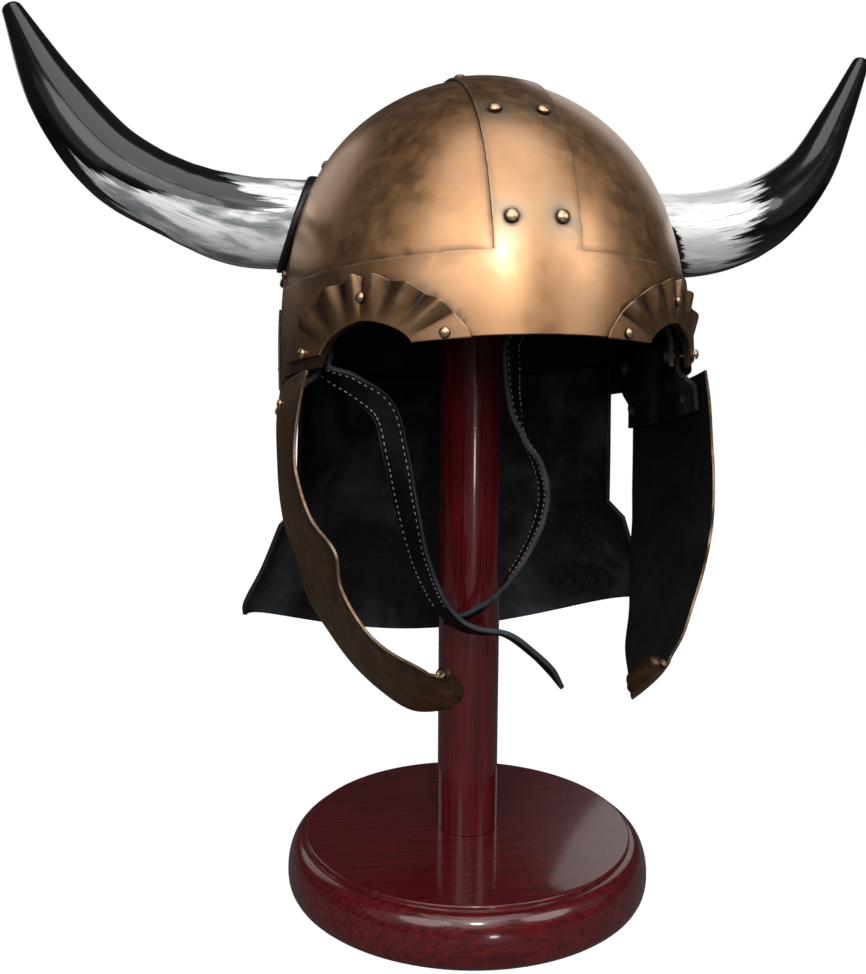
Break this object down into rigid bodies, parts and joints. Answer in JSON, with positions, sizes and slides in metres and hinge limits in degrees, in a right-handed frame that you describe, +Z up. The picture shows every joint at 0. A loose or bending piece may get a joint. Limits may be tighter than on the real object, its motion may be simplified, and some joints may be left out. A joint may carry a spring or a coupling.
{
  "type": "horned sheet-metal helmet with cheek guards and a leather neck guard, on a wooden display stand",
  "caption": "Horned Norse-style metal helmet with fluted temple fans, cheek guards, a leather neck guard and chin straps, on a turned wooden stand.",
  "frame": {"origin": "centre of the stand's underside", "axes": "+Z up along the stand's post, -Y towards the helmet's front, +X to the right as seen from the front"},
  "size_m": [0.4785, 0.2839, 0.4742],
  "materials": {
    "bronze_finish": "worn antique bronze finish on sheet metal, glossy on the raised parts and dark in the recesses",
    "rivet_finish": "polished antique bronze finish",
    "black_leather": "smooth black leather with a slight sheen and a raw brown cut edge",
    "strap_leather": "black strap leather with a grey cut edge",
    "horn": "polished natural horn, black tips and streaked grey and off-white roots",
    "horn_ring": "matt black",
    "lacquered_wood": "dark red-brown gloss lacquer"
  },
  "bodies": {
    "root": {"cheek_guard_left": "bronze_finish", "cheek_guard_right": "bronze_finish", "chin_strap_left": "strap_leather", "chin_strap_right": "strap_leather", "cross_band": "bronze_finish", "crown_panel_front_left": "bronze_finish", "crown_panel_front_right": "bronze_finish", "crown_panel_rear_left": "bronze_finish", "crown_panel_rear_right": "bronze_finish", "fan_rivet_front_left": "rivet_finish", "fan_rivet_front_right": "rivet_finish", "fan_rivet_middle_left": "rivet_finish", "fan_rivet_middle_right": "rivet_finish", "front_plate": "bronze_finish", "front_rivet_crown_left": "rivet_finish", "front_rivet_crown_right": "rivet_finish", "front_rivet_lower_left": "rivet_finish", "front_rivet_lower_right": "rivet_finish", "front_rivet_upper_left": "rivet_finish", "front_rivet_upper_right": "rivet_finish", "hinge_leather_left": "black_leather", "hinge_leather_right": "black_leather", "hinge_rivet_lower_front_left": "rivet_finish", "hinge_rivet_lower_front_right": "rivet_finish", "hinge_rivet_lower_rear_left": "rivet_finish", "hinge_rivet_lower_rear_right": "rivet_finish", "hinge_rivet_upper_front_left": "rivet_finish", "hinge_rivet_upper_front_right": "rivet_finish", "hinge_rivet_upper_rear_left": "rivet_finish", "hinge_rivet_upper_rear_right": "rivet_finish", "horn_left": "horn", "horn_right": "horn", "horn_ring_left": "horn_ring", "horn_ring_right": "horn_ring", "horn_rivet_front_lower_left": "rivet_finish", "horn_rivet_front_lower_right": "rivet_finish", "horn_rivet_front_upper_left": "rivet_finish", "horn_rivet_front_upper_right": "rivet_finish", "horn_rivet_rear_lower_left": "rivet_finish", "horn_rivet_rear_lower_right": "rivet_finish", "horn_rivet_rear_upper_left": "rivet_finish", "horn_rivet_rear_upper_right": "rivet_finish", "neck_guard": "black_leather", "neck_rivet_1": "rivet_finish", "neck_rivet_2": "rivet_finish", "neck_rivet_3": "rivet_finish", "rear_plate": "bronze_finish", "rear_rivet_lower_left": "rivet_finish", "rear_rivet_lower_right": "rivet_finish", "rear_rivet_upper_left": "rivet_finish", "rear_rivet_upper_right": "rivet_finish", "stand_base": "lacquered_wood", "stand_post": "lacquered_wood", "strap_rivet_left": "rivet_finish", "strap_rivet_right": "rivet_finish", "temple_fan_left": "bronze_finish", "temple_fan_right": "bronze_finish"}
  },
  "joints": []
}
